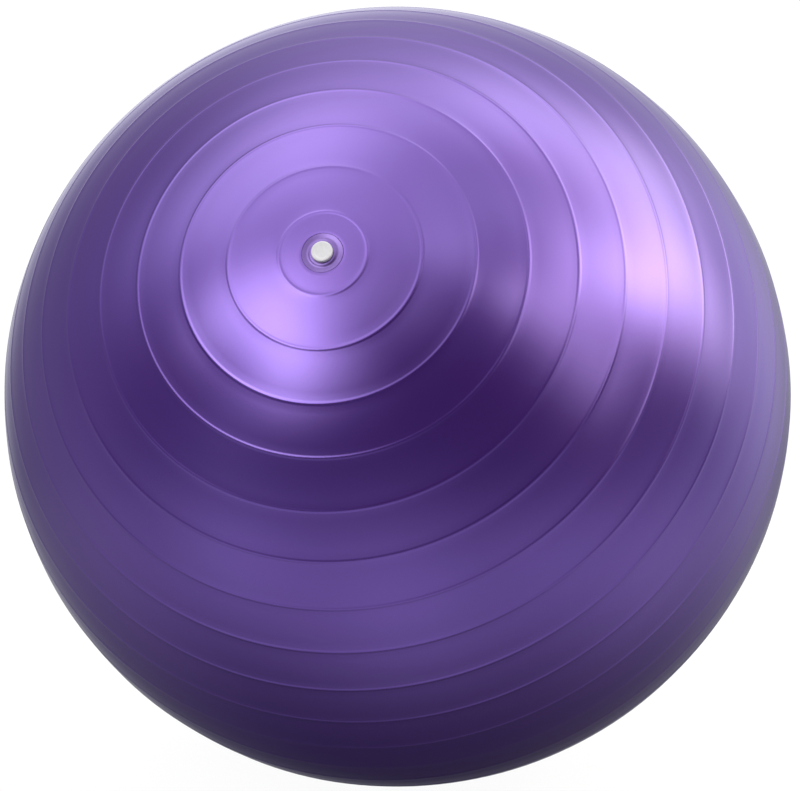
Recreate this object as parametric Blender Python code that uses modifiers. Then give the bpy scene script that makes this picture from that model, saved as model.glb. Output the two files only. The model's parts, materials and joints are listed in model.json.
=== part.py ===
"""Exercise ball of 65 cm, inflated and standing on a floor.

A moulded PVC shell with raised anti-slip rings, a valve seat fused into its wall, and a push-in plug.
Run it with: blender --background --python part.py

Frame: metres, +Z up. The origin is the centre of the flat patch that the ball stands on, and the
valve axis lies in the YZ plane, pointing forward (-Y) and up.
"""

import math

import bmesh
import bpy
from mathutils import Matrix, Vector

MM = 0.001

# Ball shell
BALL_RADIUS = 325 * MM
SPREAD = 0.0042  # the share by which its own weight makes the ball wider and lower
WALL = 0.8 * MM  # PVC moulded about 2 mm thick, stretched thin by the air inside
SHELL_SIDES = 56

# Raised rings, evenly spaced along the arc from pole to pole and mirrored at the equator
RINGS_PER_HALF = 12
RING_PITCH = math.radians(7.3)
RING_WIDTH = 3.8 * MM
RING_HEIGHT = 0.4 * MM

# Patch that the ball's own weight presses flat: 13 N spread at an air pressure of 2 kPa
CONTACT_RADIUS = 46 * MM
CONTACT_BLEND = 1.6 * MM  # height over which the wall curves away from the floor, each way
CUT_SNAP = 0.4 * MM
SINK = CONTACT_BLEND + CONTACT_RADIUS**2 / (2 * BALL_RADIUS)
BALL_CENTRE = Vector((0, 0, BALL_RADIUS * (1 - SPREAD) - SINK))
SPREADING = Matrix.Diagonal((1 + SPREAD, 1 + SPREAD, 1 - SPREAD, 1))

# Valve axis
VALVE_ELEVATION = math.radians(30)
VALVE_SIDES = 32
FIT_GAP = 0.3 * MM

# Valve seat: a face with a groove round a low collar, a flange fused under the wall, and a tube inside
SEAT_FACE_RADIUS = 16 * MM
GROOVE_RADIUS = 12 * MM
GROOVE_DEPTH = 1.6 * MM  # below the ball's pole, as is the collar's
COLLAR_RADIUS = 9.8 * MM
COLLAR_DEPTH = 0.6 * MM
SEAT_FLANGE_RADIUS = 24 * MM
SEAT_FLANGE_THICKNESS = 1.4 * MM
SEAT_TUBE_RADIUS = 10 * MM
SEAT_TUBE_TIP_RADIUS = 7.6 * MM
SEAT_LENGTH = 25 * MM
BORE_RADIUS = 5 * MM
BORE_LEAD_IN = 0.8 * MM

# Plug: a round head with a shallow dish, and a hollow shank with barbs
HEAD_RADIUS = 8.3 * MM
HEAD_THICKNESS = 3.2 * MM
HEAD_EDGE = 0.7 * MM
DISH_RADIUS = 6.4 * MM
DISH_DEPTH = 0.4 * MM
SHANK_RADIUS = 4 * MM
SHANK_LENGTH = 20 * MM
BARB_RADIUS = 4.7 * MM
BARB_COUNT = 3
BARB_PITCH = 4.6 * MM
BARB_LENGTH = 2.2 * MM
FIRST_BARB = 4 * MM  # from the head's underside to the first barb's ledge
TIP_RADIUS = 3.2 * MM
TIP_LENGTH = 1.5 * MM
CORE_RADIUS = 2 * MM
CORE_DEPTH = 15 * MM

# Colours are linear RGB: base colour, metallic, roughness
FINISHES = {
    "pearl_purple_pvc": ((0.165, 0.085, 0.36), 0.75, 0.32),
    "clear_purple_pvc": ((0.24, 0.17, 0.42), 0.15, 0.38),
    "white_plastic": ((0.72, 0.72, 0.71), 0.0, 0.42),
}

SMOOTH_ANGLE = math.radians(25)
MERGE = 0.05 * MM


def clear_scene():
    for obj in list(bpy.data.objects):
        bpy.data.objects.remove(obj)


def make_collection(name):
    collection = bpy.data.collections.new(name)
    bpy.context.scene.collection.children.link(collection)
    return collection


def make_material(name):
    colour, metallic, roughness = FINISHES[name]
    material = bpy.data.materials.new(name)
    material.use_nodes = True
    shader = material.node_tree.nodes["Principled BSDF"]
    shader.inputs["Base Color"].default_value = (*colour, 1)
    shader.inputs["Metallic"].default_value = metallic
    shader.inputs["Roughness"].default_value = roughness
    return material


def make_empty(name, location, collection):
    """An empty whose local +Z is the valve axis."""
    empty = bpy.data.objects.new(name, None)
    collection.objects.link(empty)
    empty.location = location
    empty.rotation_euler = (math.pi / 2 - VALVE_ELEVATION, 0, 0)
    return empty


def turned(name, profile, sides, material, parent, collection):
    """Turns a profile of (radius, height) points, run down its outer side, about the parent's Z axis."""
    mesh = bpy.data.meshes.new(name)
    points = [(radius, 0, height) for radius, height in profile]
    edges = [(i, i + 1) for i in range(len(points) - 1)]
    mesh.from_pydata(points, edges, [])
    mesh.materials.append(material)
    obj = bpy.data.objects.new(name, mesh)
    collection.objects.link(obj)
    obj.parent = parent
    screw = obj.modifiers.new("turn", "SCREW")
    screw.axis = "Z"
    screw.angle = math.tau
    screw.steps = sides
    screw.render_steps = sides
    screw.use_merge_vertices = True
    screw.merge_threshold = MERGE
    apply_modifiers(obj)
    return obj


def apply_modifiers(obj):
    bpy.context.view_layer.update()
    evaluated = obj.evaluated_get(bpy.context.evaluated_depsgraph_get())
    mesh = bpy.data.meshes.new_from_object(evaluated)
    obj.modifiers.clear()
    obj.data = mesh


def shade(obj):
    """Smooth shading, with hard edges kept."""
    obj.data.shade_smooth()
    obj.data.set_sharp_from_angle(angle=SMOOTH_ANGLE)


def on_ball(radius, polar):
    """The (radius, height) of a point at this distance from the ball's centre and angle from the valve."""
    return radius * math.sin(polar), radius * math.cos(polar)


def ring_angles():
    """Angles from the valve axis to the middle of each ring, from the valve to the far pole."""
    offsets = [(k + 0.5) * RING_PITCH for k in range(RINGS_PER_HALF)]
    near = [math.pi / 2 - offset for offset in reversed(offsets)]
    far = [math.pi / 2 + offset for offset in offsets]
    return near + far


def shell_profile():
    """Up the inner face from the far pole to the valve's hole, then down the outer face over the rings."""
    inner = BALL_RADIUS - WALL
    hole = math.asin((SEAT_FACE_RADIUS + FIT_GAP) / BALL_RADIUS)
    half_ring = RING_WIDTH / 2 / BALL_RADIUS
    inside = [on_ball(inner, angle) for angle in reversed(ring_angles())]
    outside = []
    for angle in ring_angles():
        outside.append(on_ball(BALL_RADIUS, angle - half_ring))
        outside.append(on_ball(BALL_RADIUS + RING_HEIGHT, angle))
        outside.append(on_ball(BALL_RADIUS, angle + half_ring))
    edge = [on_ball(inner, hole), on_ball(BALL_RADIUS, hole)]
    return [(0, -inner), *inside, *edge, *outside, (0, -BALL_RADIUS)]


def pressed(height, floor):
    """The height of a wall point once the floor holds it up, with a smooth lift-off."""
    above = height - floor
    if above >= CONTACT_BLEND:
        return height
    if above <= -CONTACT_BLEND:
        return floor
    return floor + (above + CONTACT_BLEND) ** 2 / (4 * CONTACT_BLEND)


def press_on_floor(obj):
    """Spreads the shell and presses its lowest part flat. The patch's rim becomes an edge of the mesh."""
    about_centre = Matrix.Translation(BALL_CENTRE) @ SPREADING @ Matrix.Translation(-BALL_CENTRE)
    shape = bmesh.new()
    shape.from_mesh(obj.data)
    shape.transform(about_centre @ obj.matrix_world)
    for height in (-CONTACT_BLEND, CONTACT_BLEND):
        everything = [*shape.verts, *shape.edges, *shape.faces]
        bmesh.ops.bisect_plane(
            shape, geom=everything, dist=CUT_SNAP, plane_co=(0, 0, height), plane_no=(0, 0, 1)
        )
    shape.normal_update()
    for vertex in shape.verts:
        inner_face = vertex.normal.dot(vertex.co - BALL_CENTRE) < 0
        vertex.co.z = pressed(vertex.co.z, WALL if inner_face else 0)
    shape.transform(obj.matrix_world.inverted())
    shape.to_mesh(obj.data)
    shape.free()


def seat_profile():
    """Heights are from the ball's pole. A closed loop: collar, groove, flange, tube, and up the bore."""
    face_edge = -(BALL_RADIUS - math.sqrt(BALL_RADIUS**2 - SEAT_FACE_RADIUS**2))
    flange_edge = -(BALL_RADIUS - math.sqrt(BALL_RADIUS**2 - SEAT_FLANGE_RADIUS**2))
    under_wall = WALL + FIT_GAP
    flange_foot = flange_edge - under_wall - SEAT_FLANGE_THICKNESS
    loop = [
        (BORE_RADIUS + BORE_LEAD_IN, -COLLAR_DEPTH),
        (COLLAR_RADIUS, -COLLAR_DEPTH),
        (GROOVE_RADIUS, -GROOVE_DEPTH),
        (SEAT_FACE_RADIUS, face_edge),
        (SEAT_FACE_RADIUS, face_edge - under_wall),
        (SEAT_FLANGE_RADIUS, flange_edge - under_wall),
        (SEAT_FLANGE_RADIUS, flange_foot),
        (SEAT_TUBE_RADIUS, flange_foot - WALL),
        (SEAT_TUBE_TIP_RADIUS, -SEAT_LENGTH),
        (BORE_RADIUS, -SEAT_LENGTH),
        (BORE_RADIUS, -COLLAR_DEPTH - BORE_LEAD_IN),
    ]
    return [*loop, loop[0]]


def plug_profile():
    """Heights are from the ball's pole. Down from the head's middle, along the shank, and up its core."""
    underside = -COLLAR_DEPTH + FIT_GAP
    top = underside + HEAD_THICKNESS
    edge_in = HEAD_RADIUS - HEAD_EDGE
    points = [
        (0, top - DISH_DEPTH),
        (DISH_RADIUS - DISH_DEPTH, top - DISH_DEPTH),
        (DISH_RADIUS, top),
    ]
    for angle in (0, math.pi / 4, math.pi / 2):
        points.append((edge_in + HEAD_EDGE * math.sin(angle), top - HEAD_EDGE * (1 - math.cos(angle))))
    points += [
        (HEAD_RADIUS, underside + HEAD_EDGE / 2),
        (HEAD_RADIUS - HEAD_EDGE / 2, underside),
        (SHANK_RADIUS, underside),
    ]
    for k in range(BARB_COUNT):
        ledge = underside - FIRST_BARB - k * BARB_PITCH
        points += [
            (SHANK_RADIUS, ledge),
            (BARB_RADIUS, ledge),
            (SHANK_RADIUS, ledge - BARB_LENGTH),
        ]
    tip = underside - SHANK_LENGTH
    points += [
        (SHANK_RADIUS, tip + TIP_LENGTH),
        (TIP_RADIUS, tip),
        (CORE_RADIUS, tip),
        (CORE_RADIUS, tip + CORE_DEPTH),
        (0, tip + CORE_DEPTH + CORE_RADIUS / 2),
    ]
    return points


def main():
    clear_scene()
    collection = make_collection("exercise_ball")
    ball_axis = make_empty("ball_axis", BALL_CENTRE, collection)
    pole = BALL_RADIUS * Vector((0, -math.cos(VALVE_ELEVATION), math.sin(VALVE_ELEVATION)))
    valve_axis = make_empty("valve_axis", BALL_CENTRE + SPREADING.to_3x3() @ pole, collection)

    pearl, clear, white = (make_material(name) for name in FINISHES)
    shell = turned("ball_shell", shell_profile(), SHELL_SIDES, pearl, ball_axis, collection)
    press_on_floor(shell)
    seat = turned("valve_seat", seat_profile(), VALVE_SIDES, clear, valve_axis, collection)
    plug = turned("valve_plug", plug_profile(), VALVE_SIDES, white, valve_axis, collection)
    for obj in (shell, seat, plug):
        shade(obj)


main()
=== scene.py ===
"""Exercise ball: the finished looks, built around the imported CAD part.

Metres, +Z up, in the CAD frame: the ball stands on the floor at the origin, and its valve looks forward
(-Y) and up. The skin, the valve's socket and its stopper stand for the three CAD nodes.
"""

import json
import math

import bmesh
import bpy
from mathutils import Matrix, Vector, noise


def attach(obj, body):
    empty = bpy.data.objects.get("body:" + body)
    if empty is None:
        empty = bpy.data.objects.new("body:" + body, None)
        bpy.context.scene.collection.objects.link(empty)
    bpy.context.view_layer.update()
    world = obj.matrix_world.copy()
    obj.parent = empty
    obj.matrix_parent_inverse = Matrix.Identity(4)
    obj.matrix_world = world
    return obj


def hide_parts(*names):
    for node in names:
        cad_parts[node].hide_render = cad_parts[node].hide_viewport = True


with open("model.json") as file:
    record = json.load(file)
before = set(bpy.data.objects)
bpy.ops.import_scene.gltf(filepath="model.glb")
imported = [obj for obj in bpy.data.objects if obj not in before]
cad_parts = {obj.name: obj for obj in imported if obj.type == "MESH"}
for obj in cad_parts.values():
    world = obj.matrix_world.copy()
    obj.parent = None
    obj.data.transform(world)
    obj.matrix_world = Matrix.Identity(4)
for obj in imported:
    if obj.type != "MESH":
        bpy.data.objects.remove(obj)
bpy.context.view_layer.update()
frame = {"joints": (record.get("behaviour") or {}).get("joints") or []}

MM = 0.001

# Ball, as in the CAD: mean radius, the share by which its weight spreads it, wall, and flat patch
BALL_RADIUS = 325 * MM
SPREAD = 0.0042
WALL = 0.8 * MM
CONTACT_RADIUS = 46 * MM
CONTACT_BLEND = 1.6 * MM
SINK = CONTACT_BLEND + CONTACT_RADIUS**2 / (2 * BALL_RADIUS)
BALL_CENTRE = Vector((0, 0, BALL_RADIUS * (1 - SPREAD) - SINK))
SPREADING = Matrix.Diagonal((1 + SPREAD, 1 + SPREAD, 1 - SPREAD))

# Skin between the rings: each band is a little flatter than the ball
BAND_DIP = 0.3 * MM  # how far the middle of a band lies under the ball's radius
BAND_FLATNESS = 0.095  # how much the band's curve is flatter than the ball's, as a share of it
BAND_STEPS = 6
SKIN_SIDES = 192
WAVE_HEIGHT = 0.16 * MM
WAVE_LENGTH = 95 * MM
RIM_ANGLES = (150, 120, 90, 60, 30)  # round the rim of the valve's hole, in degrees, inside to outside

# Raised rings
RINGS_PER_HALF = 12
RING_PITCH = math.radians(7.3)
RING_HALF_WIDTH = 2.3 * MM
RING_HEIGHT = 0.28 * MM
RING_UNEVENNESS = 0.35
RING_NOISE_SHIFT = Vector((7, 3, 5))  # keeps the rings' unevenness apart from the skin's waves
RING_STEPS = 8

# Valve: the socket that stands for the CAD's seat. A fillet is how far from its corner a bend starts
FACE_RADIUS = 16 * MM
FIT_GAP = 0.3 * MM
SEAM_GAP = 0.06 * MM  # between the seat's face and the wall around it
GROOVE_RADIUS = 12 * MM
GROOVE_DEPTH = 1.6 * MM
COLLAR_RADIUS = 9.8 * MM
COLLAR_DEPTH = 0.6 * MM
FLANGE_RADIUS = 24 * MM
FLANGE_THICKNESS = 1.4 * MM
TUBE_RADIUS = 10 * MM
TUBE_TIP_RADIUS = 7.6 * MM
SEAT_LENGTH = 25 * MM
BORE_RADIUS = 5 * MM
BORE_LEAD_IN = 0.8 * MM
MOUTH_FILLET = 0.3 * MM
COLLAR_FILLET = 0.8 * MM
GROOVE_FILLET = 1.2 * MM
FACE_FILLET = 0.3 * MM
STEP_FILLET = 0.2 * MM
FLANGE_FILLET = 0.4 * MM
TUBE_FILLET = 1.2 * MM
TUBE_TIP_FILLET = 0.6 * MM
BORE_END_FILLET = 0.4 * MM
VALVE_SIDES = 96
FILLET_STEPS = 5

# Stopper
HEAD_RADIUS = 8.3 * MM
HEAD_THICKNESS = 3.2 * MM
HEAD_FILLET = 1.0 * MM
HEAD_FOOT_FILLET = 0.5 * MM
DISH_RADIUS = 6.2 * MM
DISH_DEPTH = 0.4 * MM
DISH_SLOPE = 3  # the dish's wall is this many times as wide as it is deep
DISH_FILLET = 0.9 * MM
SHANK_RADIUS = 4 * MM
SHANK_LENGTH = 20 * MM
SHANK_FILLET = 0.3 * MM
BARB_RADIUS = 4.7 * MM
BARB_COUNT = 3
BARB_PITCH = 4.6 * MM
BARB_LENGTH = 2.2 * MM
BARB_LEDGE_FILLET = 0.2 * MM
BARB_EDGE_FILLET = 0.15 * MM
BARB_FOOT_FILLET = 0.4 * MM
FIRST_BARB = 4 * MM
TIP_RADIUS = 3.2 * MM
TIP_LENGTH = 1.5 * MM
TIP_FILLET = 0.5 * MM
CORE_RADIUS = 2 * MM
CORE_DEPTH = 15 * MM
CORE_POINT = CORE_RADIUS / 2
CORE_MOUTH_FILLET = 0.3 * MM
CORE_END_FILLET = 0.5 * MM

# Noise: its values mostly lie between these two, and colours and roughness are spread over that range
NOISE_RANGE = (0.3, 0.7)

# Pearlescent PVC of the skin: slow colour patches, fine flake, and a slight orange peel
PEARL_COLOURS = ((0.094, 0.027, 0.305), (0.100, 0.028, 0.315), (0.107, 0.029, 0.320))
PEARL_ROUGHNESS = (0.22, 0.26)
PEARL_FINISH = {
    "Metallic": 0.7,
    "Coat Weight": 1.0,
    "Coat Roughness": 0.2,
    "Coat IOR": 1.6,
    "Specular Tint": (0.55, 0.38, 0.95, 1),
}
PATCH_SCALE = 7.0
FLAKE_SCALE = 1500.0
FLAKE_HEIGHT = 0.002 * MM
PEEL_SCALE = 45.0
PEEL_HEIGHT = 0.02 * MM

# Semi-clear PVC of the socket
SOCKET_COLOURS = ((0.118, 0.052, 0.290), (0.135, 0.064, 0.315))
SOCKET_ROUGHNESS = (0.28, 0.36)
SOCKET_FINISH = {"Metallic": 0.65, "Coat Weight": 0.7, "Coat Roughness": 0.25}
SOCKET_CLOUD_SCALE = 220.0
SOCKET_GRAIN_SCALE = 1800.0
SOCKET_GRAIN_HEIGHT = 0.01 * MM

# White polyethylene of the stopper
STOPPER_COLOURS = ((0.52, 0.49, 0.575), (0.58, 0.55, 0.635))
STOPPER_ROUGHNESS = (0.38, 0.5)
STOPPER_FINISH = {
    "Subsurface Weight": 0.2,
    "Subsurface Radius": (0.002, 0.002, 0.002),
    "Subsurface Scale": 0.5,
}
STOPPER_CLOUD_SCALE = 300.0
STOPPER_GRAIN_SCALE = 2500.0
STOPPER_GRAIN_HEIGHT = 0.015 * MM

# Camera: direction from the ball in degrees, distance in metres, lens in millimetres
CAMERA_AZIMUTH = 11.6
CAMERA_ELEVATION = 10.4
CAMERA_DISTANCE = 3.25
CAMERA_LENS = 175.4
CAMERA_SHIFT_X = 0.00325
CAMERA_SHIFT_Y = 0.0015

# Floor: a pale, mostly clear disc that fades into the backdrop between the two fade radii
FLOOR_RADIUS = 1.3
FLOOR_SIDES = 128
FLOOR_FADE = (0.45, 1.25)
FLOOR_CLEARNESS = 0.92
FLOOR_COLOURS = ((0.84, 0.84, 0.84), (0.87, 0.87, 0.87))
FLOOR_CLOUD_SCALE = 3.0
FLOOR_FINISH = {"Roughness": 0.9, "Specular IOR Level": 0.1}

# Backdrop: what the camera sees behind the ball and through the floor
BACKDROP_COLOUR = (1, 1, 1, 1)
BACKDROP_STRENGTH = 1.04

# Light of the room, as soft lobes: two windows, the ceiling, and what comes back from walls and floor.
# The radiances began as a least-squares fit to a photograph, rounded, and most were then set one by one.
WARM = (1.07, 1.08, 0.89)
CREAM = (1.02, 1.07, 0.95)
COOL = (1.0, 1.02, 1.08)
LOBES = {
    # name: (azimuth, elevation and spread in degrees, radiance, tint)
    "left_window": (-34, 36, 9, 3.0, CREAM),
    "left_window_right": (-20, 32, 9, 2.3, CREAM),
    "left_window_core": (-30, 26, 6, 2.0, CREAM),
    "left_window_foot": (-20, 17, 7, 4.2, CREAM),
    "left_window_edge": (-47, 27, 7, 2.4, CREAM),
    "left_window_corner": (-5, 19, 6, 0.8, CREAM),
    "left_window_top": (0, 42, 9, 0.9, CREAM),
    "left_window_gleam": (18, 38, 6, 0.4, CREAM),
    "right_window_front": (63, 31, 7, 2.2, WARM),
    "right_window_lamp": (51, 37, 4, 1.8, WARM),
    "right_window": (83, 37, 9, 2.9, WARM),
    "right_window_middle": (96, 27, 9, 3.1, WARM),
    "right_window_core": (100, 25, 5, 2.0, WARM),
    "right_window_back": (115, 24, 9, 4.2, WARM),
    "right_window_high": (118, 43, 11, 2.1, WARM),
    "right_window_side": (136, 34, 9, 2.0, WARM),
    "right_window_foot": (72, 14, 8, 1.7, WARM),
    "right_window_low": (119, 10, 8, 1.4, WARM),
    "ceiling": (192, 78, 18, 0.7, CREAM),
    "ceiling_back": (192, 66, 20, 0.6, CREAM),
    "ceiling_left": (-84, 70, 13, 2.6, CREAM),
    "ceiling_left_low": (-72, 48, 10, 1.5, CREAM),
    "ceiling_left_front": (-18, 58, 9, 1.2, CREAM),
    "ceiling_front": (33, 65, 12, 1.3, CREAM),
    "ceiling_front_low": (35, 52, 6, 1.2, CREAM),
    "ceiling_front_right": (80, 56, 8, 0.9, CREAM),
    "ceiling_right": (142, 60, 11, 2.2, CREAM),
    "left_wall": (-82, 34, 13, 0.6, COOL),
    "left_side": (-116, 6, 28, 0.25, COOL),
    "right_wall": (150, 10, 15, 0.6, COOL),
    "behind": (186, 34, 22, 0.4, COOL),
    "back_glow": (196, 0, 12, 0.8, COOL),
    "left_low": (-36, 4, 8, 0.3, COOL),
    "right_low": (138, -6, 16, 0.6, COOL),
    "floor_front": (12, -50, 20, 0.8, COOL),
    "floor_left": (-42, -34, 15, 0.66, COOL),
    "floor_right": (66, -34, 15, 0.5, COOL),
    "floor_right_side": (104, -30, 16, 0.6, COOL),
    "floor_left_side": (-84, -28, 18, 0.33, COOL),
}


def direction(azimuth, elevation):
    """The unit vector towards an azimuth (0 looks from -Y, 90 from +X) and an elevation, in degrees."""
    azimuth = math.radians(azimuth)
    elevation = math.radians(elevation)
    level = math.cos(elevation)
    return Vector((math.sin(azimuth) * level, -math.cos(azimuth) * level, math.sin(elevation)))


VALVE_AXIS = Vector(frame["joints"][0]["axis"]).normalized()
AXIS_TURN = Vector((0, 0, 1)).rotation_difference(VALVE_AXIS).to_matrix().to_4x4()
SKIN_PLACE = Matrix.Translation(BALL_CENTRE) @ AXIS_TURN
VALVE_PLACE = Matrix.Translation(BALL_CENTRE + SPREADING @ (BALL_RADIUS * VALVE_AXIS)) @ AXIS_TURN


# Meshes


def strip(upper, lower):
    """Faces between two rows of vertex numbers. A row of one vertex is a pole."""
    if len(upper) == 1 and len(lower) == 1:
        return []
    sides = max(len(upper), len(lower))
    faces = []
    for k in range(sides):
        following = (k + 1) % sides
        corners = [upper[k % len(upper)], lower[k % len(lower)]]
        corners += [lower[following % len(lower)], upper[following % len(upper)]]
        faces.append(tuple(dict.fromkeys(corners)))
    return faces


def revolve(name, profile, sides, closed=False):
    """Turns a profile of (radius, height) points about Z. A closed profile joins its end to its start."""
    vertices, rows = [], []
    for radius, height in profile:
        count = sides if radius > 0 else 1
        rows.append(range(len(vertices), len(vertices) + count))
        for k in range(count):
            angle = math.tau * k / sides
            vertices.append((radius * math.cos(angle), radius * math.sin(angle), height))
    faces = []
    for upper, lower in zip(rows, rows[1:]):
        faces += strip(upper, lower)
    if closed:
        faces += strip(rows[-1], rows[0])
    mesh = bpy.data.meshes.new(name)
    mesh.from_pydata(vertices, [], faces)
    shape = bmesh.new()
    shape.from_mesh(mesh)
    bmesh.ops.recalc_face_normals(shape, faces=shape.faces)
    shape.to_mesh(mesh)
    shape.free()
    mesh.shade_smooth()
    return mesh


def rounded(corners, closed=False):
    """Replaces each corner (radius, height, fillet) with a smooth bend that starts a fillet away from it."""
    points = []
    count = len(corners)
    for k, (radius, height, fillet) in enumerate(corners):
        corner = Vector((radius, height))
        at_end = not closed and k in (0, count - 1)
        if fillet == 0 or at_end:
            points.append((radius, height))
            continue
        before = Vector(corners[k - 1][:2]) - corner
        after = Vector(corners[(k + 1) % count][:2]) - corner
        start = corner + before.normalized() * min(fillet, before.length / 2)
        end = corner + after.normalized() * min(fillet, after.length / 2)
        for step in range(FILLET_STEPS + 1):
            t = step / FILLET_STEPS
            bend = start * (1 - t) ** 2 + corner * 2 * t * (1 - t) + end * t**2
            points.append(tuple(bend))
    return points


def add_piece(name, mesh, material, place, body, node):
    """Puts a finished mesh in the scene as the piece that stands for a CAD node."""
    mesh.transform(place)
    mesh.materials.append(material)
    piece = bpy.data.objects.new(name, mesh)
    bpy.context.scene.collection.objects.link(piece)
    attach(piece, body)
    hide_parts(node)


# Skin


def ring_angles():
    """Angles from the valve axis to the middle of each ring, from the valve to the far pole."""
    offsets = [(k + 0.5) * RING_PITCH for k in range(RINGS_PER_HALF)]
    return [math.pi / 2 - o for o in reversed(offsets)] + [math.pi / 2 + o for o in offsets]


def spaced(start, end, steps):
    """Evenly spaced values after start and before end."""
    return [start + (end - start) * k / steps for k in range(1, steps)]


def skin_rows(hole):
    """Angles of the outer skin's rows of vertices, from the hole's rim to just before the far pole."""
    half_ring = RING_HALF_WIDTH / BALL_RADIUS
    rows = [hole]
    for middle in ring_angles():
        rows += spaced(rows[-1], middle - half_ring, BAND_STEPS)
        rows += [middle + half_ring * (2 * k / RING_STEPS - 1) for k in range(RING_STEPS + 1)]
    return rows + spaced(rows[-1], math.pi, BAND_STEPS)


def skin_height(point, polar):
    """How far the outer skin stands above its bands' base radius: band shape, ring and slow waves."""
    from_middle = (polar - math.pi / 2 + RING_PITCH / 2) % RING_PITCH - RING_PITCH / 2
    height = BALL_RADIUS * BAND_FLATNESS * from_middle**2 / 2
    from_ring = (RING_PITCH / 2 - abs(from_middle)) * BALL_RADIUS
    last_ring = math.pi / 2 - RINGS_PER_HALF * RING_PITCH
    if from_ring < RING_HALF_WIDTH and last_ring < polar < math.pi - last_ring:
        evenness = 1 + RING_UNEVENNESS * noise.noise(point / WAVE_LENGTH + RING_NOISE_SHIFT)
        crest = (1 + math.cos(math.pi * from_ring / RING_HALF_WIDTH)) / 2
        height += RING_HEIGHT * crest * evenness
    return height + WAVE_HEIGHT * noise.noise(point / WAVE_LENGTH)


def pressed(height, floor):
    """The height of a wall point once the floor holds it up, with a smooth lift-off."""
    above = height - floor
    if above >= CONTACT_BLEND:
        return height
    if above <= -CONTACT_BLEND:
        return floor
    return floor + (above + CONTACT_BLEND) ** 2 / (4 * CONTACT_BLEND)


def rim_points(base, hole):
    """The rounded rim of the valve's hole as (distance, angle), from the inner skin to the outer one."""
    rim = WALL / 2 / BALL_RADIUS
    points = []
    for degrees in RIM_ANGLES:
        bend = math.radians(degrees)
        points.append((base - WALL / 2 * (1 - math.cos(bend)), hole + rim * (1 - math.sin(bend))))
    return points


def skin_mesh():
    """The hollow skin: a turned profile, raised by rings and waves, spread, and pressed on the floor."""
    hole = math.asin((FACE_RADIUS + SEAM_GAP) / BALL_RADIUS)
    edge = hole + WALL / 2 / BALL_RADIUS
    base = BALL_RADIUS - BAND_DIP
    inner = base - WALL
    inside = [(inner, angle) for angle in reversed([edge] + ring_angles())]
    outside = [(base, angle) for angle in skin_rows(edge)]
    path = [(inner, math.pi), *inside, *rim_points(base, hole), *outside, (base, math.pi)]
    profile = [(r * math.sin(a) if a < math.pi else 0, r * math.cos(a)) for r, a in path]
    mesh = revolve("ball_skin", profile, SKIN_SIDES)
    turn = AXIS_TURN.to_3x3()
    for vertex in mesh.vertices:
        point = vertex.co
        away = point.normalized()
        is_outer = point.length > base - WALL / 4  # only the outer skin has rings and waves
        if is_outer:
            polar = math.acos(max(-1, min(1, away.z)))
            point = point + away * skin_height(point, polar)
        place = BALL_CENTRE + SPREADING @ (turn @ point)
        place.z = pressed(place.z, 0 if is_outer else WALL)
        vertex.co = turn.inverted() @ (place - BALL_CENTRE)
    return mesh


# Valve


def socket_mesh():
    """The socket: collar, groove, face, flange, tube and bore. Its heights are from the ball's pole."""
    face_edge = -(BALL_RADIUS - math.sqrt(BALL_RADIUS**2 - FACE_RADIUS**2)) - BAND_DIP
    flange_edge = -(BALL_RADIUS - math.sqrt(BALL_RADIUS**2 - FLANGE_RADIUS**2)) - BAND_DIP
    under_wall = WALL + FIT_GAP
    flange_foot = flange_edge - under_wall - FLANGE_THICKNESS
    corners = [
        (BORE_RADIUS + BORE_LEAD_IN, -COLLAR_DEPTH, MOUTH_FILLET),
        (COLLAR_RADIUS, -COLLAR_DEPTH, COLLAR_FILLET),
        (GROOVE_RADIUS, -GROOVE_DEPTH, GROOVE_FILLET),
        (FACE_RADIUS, face_edge, FACE_FILLET),
        (FACE_RADIUS, face_edge - under_wall, STEP_FILLET),
        (FLANGE_RADIUS, flange_edge - under_wall, FLANGE_FILLET),
        (FLANGE_RADIUS, flange_foot, FLANGE_FILLET),
        (TUBE_RADIUS, flange_foot - WALL, TUBE_FILLET),
        (TUBE_TIP_RADIUS, -SEAT_LENGTH, TUBE_TIP_FILLET),
        (BORE_RADIUS, -SEAT_LENGTH, BORE_END_FILLET),
        (BORE_RADIUS, -COLLAR_DEPTH - BORE_LEAD_IN, MOUTH_FILLET),
    ]
    return revolve("valve_socket", rounded(corners, closed=True), VALVE_SIDES, closed=True)


def stopper_mesh():
    """The stopper: head, barbed shank and hollow core. Its heights are from the ball's pole."""
    underside = -COLLAR_DEPTH + FIT_GAP
    top = underside + HEAD_THICKNESS
    corners = [
        (0, top - DISH_DEPTH, 0),
        (DISH_RADIUS - DISH_SLOPE * DISH_DEPTH, top - DISH_DEPTH, DISH_FILLET),
        (DISH_RADIUS, top, DISH_FILLET),
        (HEAD_RADIUS, top, HEAD_FILLET),
        (HEAD_RADIUS, underside, HEAD_FOOT_FILLET),
        (SHANK_RADIUS, underside, SHANK_FILLET),
    ]
    for k in range(BARB_COUNT):
        ledge = underside - FIRST_BARB - k * BARB_PITCH
        corners += [
            (SHANK_RADIUS, ledge, BARB_LEDGE_FILLET),
            (BARB_RADIUS, ledge, BARB_EDGE_FILLET),
            (SHANK_RADIUS, ledge - BARB_LENGTH, BARB_FOOT_FILLET),
        ]
    tip = underside - SHANK_LENGTH
    corners += [
        (SHANK_RADIUS, tip + TIP_LENGTH, TIP_FILLET),
        (TIP_RADIUS, tip, CORE_MOUTH_FILLET),
        (CORE_RADIUS, tip, CORE_MOUTH_FILLET),
        (CORE_RADIUS, tip + CORE_DEPTH, CORE_END_FILLET),
        (0, tip + CORE_DEPTH + CORE_POINT, 0),
    ]
    return revolve("stopper", rounded(corners), VALVE_SIDES)


# Materials


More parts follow.
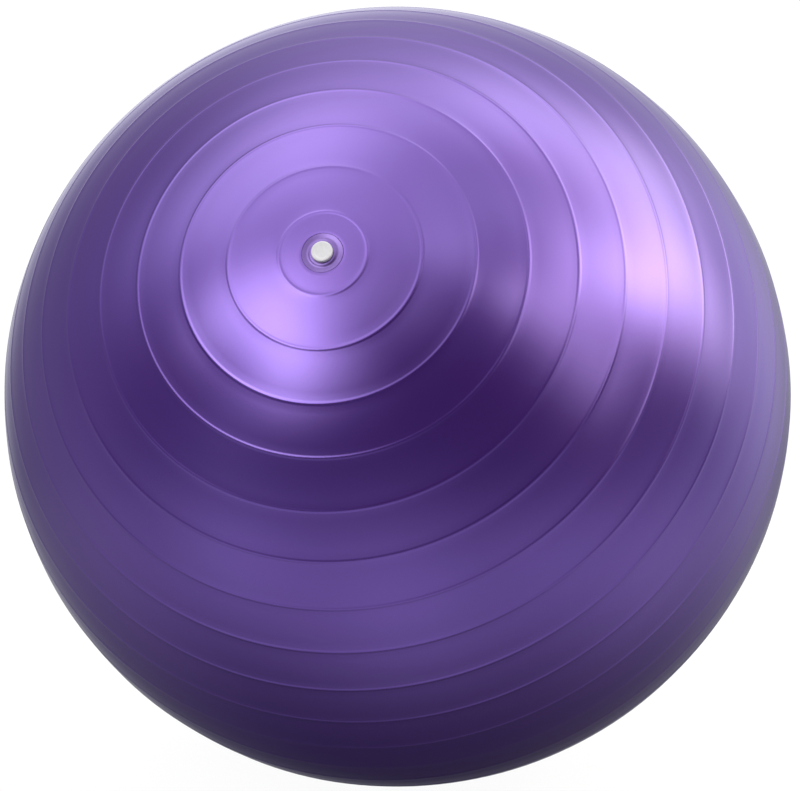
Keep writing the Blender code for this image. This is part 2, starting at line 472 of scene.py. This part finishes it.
def new_material(name):
    """A node material, with what its function needs: the nodes, the links and the shader."""
    material = bpy.data.materials.new(name)
    material.use_nodes = True
    nodes = material.node_tree.nodes
    return material, nodes, material.node_tree.links, nodes["Principled BSDF"]


def set_finish(shader, finish):
    """Sets the shader's values that are the same all over the surface."""
    for name, value in finish.items():
        shader.inputs[name].default_value = value


def noise_texture(nodes, links, place, scale, detail=2.0, roughness=0.5):
    """Noise at a place. Its scale is in cells per metre."""
    texture = nodes.new("ShaderNodeTexNoise")
    texture.inputs["Scale"].default_value = scale
    texture.inputs["Detail"].default_value = detail
    texture.inputs["Roughness"].default_value = roughness
    links.new(place, texture.inputs["Vector"])
    return texture.outputs["Fac"]


def noise_colours(nodes, links, factor, colours):
    """Spreads the colours evenly over the range of a noise value."""
    ramp = nodes.new("ShaderNodeValToRGB")
    elements = ramp.color_ramp.elements
    elements.remove(elements[1])
    low, high = NOISE_RANGE
    for k, colour in enumerate(colours):
        position = low + (high - low) * k / (len(colours) - 1)
        element = elements[0] if k == 0 else elements.new(position)
        element.position = position
        element.color = (*colour, 1)
    links.new(factor, ramp.inputs["Fac"])
    return ramp.outputs["Color"]


def map_range(nodes, links, value, source, target, interpolation="LINEAR"):
    """Maps the range source of a value to the range target."""
    node = nodes.new("ShaderNodeMapRange")
    node.interpolation_type = interpolation
    node.inputs["From Min"].default_value = source[0]
    node.inputs["From Max"].default_value = source[1]
    node.inputs["To Min"].default_value = target[0]
    node.inputs["To Max"].default_value = target[1]
    links.new(value, node.inputs["Value"])
    return node.outputs["Result"]


def bump(nodes, links, height, distance, below=None):
    """A bumped normal, with a full height of distance, on top of another normal where one is given."""
    node = nodes.new("ShaderNodeBump")
    node.inputs["Strength"].default_value = 1
    node.inputs["Distance"].default_value = distance
    links.new(height, node.inputs["Height"])
    if below is not None:
        links.new(below, node.inputs["Normal"])
    return node.outputs["Normal"]


def pearl_material():
    """Pearlescent purple PVC: fine metallic flake under a clear skin."""
    material, nodes, links, shader = new_material("pearl_purple_pvc")
    place = nodes.new("ShaderNodeTexCoord").outputs["Object"]
    patches = noise_texture(nodes, links, place, PATCH_SCALE, detail=3.0)
    links.new(noise_colours(nodes, links, patches, PEARL_COLOURS), shader.inputs["Base Color"])
    flake = noise_texture(nodes, links, place, FLAKE_SCALE, roughness=0.7)
    links.new(map_range(nodes, links, flake, NOISE_RANGE, PEARL_ROUGHNESS), shader.inputs["Roughness"])
    peel = noise_texture(nodes, links, place, PEEL_SCALE)
    peel_normal = bump(nodes, links, peel, PEEL_HEIGHT)
    links.new(bump(nodes, links, flake, FLAKE_HEIGHT, peel_normal), shader.inputs["Normal"])
    set_finish(shader, PEARL_FINISH)
    return material


def grained_plastic(name, colours, roughness, finish, cloud, cloud_detail, grain, grain_height):
    """A plastic with cloudy colour and roughness, and a fine grain: cloud and grain are noise scales."""
    material, nodes, links, shader = new_material(name)
    place = nodes.new("ShaderNodeTexCoord").outputs["Object"]
    clouds = noise_texture(nodes, links, place, cloud, detail=cloud_detail)
    links.new(noise_colours(nodes, links, clouds, colours), shader.inputs["Base Color"])
    links.new(map_range(nodes, links, clouds, NOISE_RANGE, roughness), shader.inputs["Roughness"])
    grains = noise_texture(nodes, links, place, grain)
    links.new(bump(nodes, links, grains, grain_height), shader.inputs["Normal"])
    set_finish(shader, finish)
    return material


def socket_material():
    """Semi-clear soft purple PVC of the valve's seat."""
    return grained_plastic(
        "clear_purple_pvc", SOCKET_COLOURS, SOCKET_ROUGHNESS, SOCKET_FINISH,
        cloud=SOCKET_CLOUD_SCALE, cloud_detail=3.0,
        grain=SOCKET_GRAIN_SCALE, grain_height=SOCKET_GRAIN_HEIGHT)


def stopper_material():
    """White polyethylene, a little worn and waxy."""
    return grained_plastic(
        "white_plastic", STOPPER_COLOURS, STOPPER_ROUGHNESS, STOPPER_FINISH,
        cloud=STOPPER_CLOUD_SCALE, cloud_detail=4.0,
        grain=STOPPER_GRAIN_SCALE, grain_height=STOPPER_GRAIN_HEIGHT)


# Studio

def add_floor():
    """A pale disc under the ball, clear enough to leave only a faint contact shade."""
    mesh = bpy.data.meshes.new("floor")
    shape = bmesh.new()
    bmesh.ops.create_circle(shape, cap_ends=True, radius=FLOOR_RADIUS, segments=FLOOR_SIDES)
    shape.to_mesh(mesh)
    shape.free()
    floor = bpy.data.objects.new("floor", mesh)
    bpy.context.scene.collection.objects.link(floor)
    material, nodes, links, shader = new_material("floor")
    place = nodes.new("ShaderNodeTexCoord").outputs["Object"]
    cloud = noise_texture(nodes, links, place, FLOOR_CLOUD_SCALE)
    links.new(noise_colours(nodes, links, cloud, FLOOR_COLOURS), shader.inputs["Base Color"])
    set_finish(shader, FLOOR_FINISH)
    distance = nodes.new("ShaderNodeVectorMath")
    distance.operation = "LENGTH"
    links.new(place, distance.inputs[0])
    solidity = (1 - FLOOR_CLEARNESS, 0)
    fade = map_range(nodes, links, distance.outputs["Value"], FLOOR_FADE, solidity, "SMOOTHSTEP")
    links.new(fade, shader.inputs["Alpha"])
    mesh.materials.append(material)


def add_lobe(nodes, links, looking, azimuth, elevation, spread, radiance, tint):
    """One soft lobe of light: a spherical Gaussian round its direction."""
    dot = nodes.new("ShaderNodeVectorMath")
    dot.operation = "DOT_PRODUCT"
    dot.inputs[1].default_value = direction(azimuth, elevation)
    links.new(looking, dot.inputs[0])
    sharpness = 1 / math.radians(spread) ** 2
    fall = nodes.new("ShaderNodeMath")
    fall.operation = "MULTIPLY_ADD"
    fall.inputs[1].default_value = sharpness
    fall.inputs[2].default_value = -sharpness
    links.new(dot.outputs["Value"], fall.inputs[0])
    power = nodes.new("ShaderNodeMath")
    power.operation = "EXPONENT"
    links.new(fall.outputs["Value"], power.inputs[0])
    glow = nodes.new("ShaderNodeVectorMath")
    glow.operation = "SCALE"
    glow.inputs[0].default_value = [radiance * channel for channel in tint]
    links.new(power.outputs["Value"], glow.inputs["Scale"])
    return glow.outputs["Vector"]


def add_world(lobes):
    """A white backdrop for the camera, and a sum of soft lobes of light for everything else."""
    world = bpy.data.worlds.new("studio")
    bpy.context.scene.world = world
    world.use_nodes = True
    nodes = world.node_tree.nodes
    links = world.node_tree.links
    nodes.clear()
    looking = nodes.new("ShaderNodeTexCoord").outputs["Generated"]
    total = None
    for lobe in lobes.values():
        glow = add_lobe(nodes, links, looking, *lobe)
        if total is None:
            total = glow
            continue
        both = nodes.new("ShaderNodeVectorMath")
        both.operation = "ADD"
        links.new(total, both.inputs[0])
        links.new(glow, both.inputs[1])
        total = both.outputs["Vector"]
    room = nodes.new("ShaderNodeBackground")
    links.new(total, room.inputs["Color"])
    backdrop = nodes.new("ShaderNodeBackground")
    backdrop.inputs["Color"].default_value = BACKDROP_COLOUR
    backdrop.inputs["Strength"].default_value = BACKDROP_STRENGTH
    chosen = nodes.new("ShaderNodeMixShader")
    links.new(nodes.new("ShaderNodeLightPath").outputs["Is Camera Ray"], chosen.inputs["Fac"])
    links.new(room.outputs["Background"], chosen.inputs[1])
    links.new(backdrop.outputs["Background"], chosen.inputs[2])
    output = nodes.new("ShaderNodeOutputWorld")
    links.new(chosen.outputs["Shader"], output.inputs["Surface"])


def add_camera():
    """The camera, which looks at the ball's centre through a long lens."""
    data = bpy.data.cameras.new("camera")
    data.lens = CAMERA_LENS
    data.shift_x = CAMERA_SHIFT_X
    data.shift_y = CAMERA_SHIFT_Y
    camera = bpy.data.objects.new("camera", data)
    bpy.context.scene.collection.objects.link(camera)
    away = direction(CAMERA_AZIMUTH, CAMERA_ELEVATION)
    camera.location = BALL_CENTRE + away * CAMERA_DISTANCE
    camera.rotation_mode = "QUATERNION"
    camera.rotation_quaternion = away.to_track_quat("Z", "Y")
    bpy.context.scene.camera = camera


add_camera()
add_floor()
add_world(LOBES)
bpy.context.scene.view_settings.view_transform = "Standard"

add_piece("ball_skin", skin_mesh(), pearl_material(), SKIN_PLACE, "ball", "ball_shell")
add_piece("valve_socket", socket_mesh(), socket_material(), VALVE_PLACE, "ball", "valve_seat")
add_piece("stopper", stopper_mesh(), stopper_material(), VALVE_PLACE, "plug", "valve_plug")
